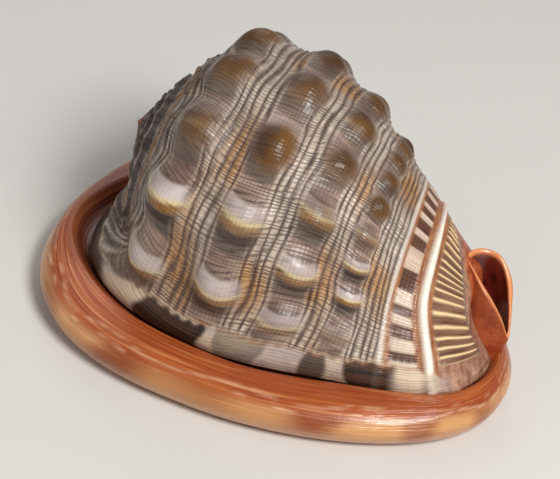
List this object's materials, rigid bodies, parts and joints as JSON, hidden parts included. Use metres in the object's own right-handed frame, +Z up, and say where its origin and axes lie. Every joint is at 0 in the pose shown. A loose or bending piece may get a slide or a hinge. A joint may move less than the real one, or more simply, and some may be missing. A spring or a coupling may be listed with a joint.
{
  "type": "helmet shell",
  "caption": "Knobbed helmet sea shell lying on its aperture, with a low spire, a thick glossy outer lip, a shield and a short upturned canal; a natural ornament to rest on a shelf.",
  "frame": {"origin": "middle of the base, on the surface that the shell lies on", "axes": "+X from the spire towards the siphonal canal, +Y from the outer lip towards the parietal shield, +Z up"},
  "size_m": [0.15, 0.119, 0.0829],
  "materials": {
    "glazed_shell": "glossy natural shell"
  },
  "bodies": {
    "root": {"helmet_shell": "glazed_shell"}
  },
  "joints": []
}
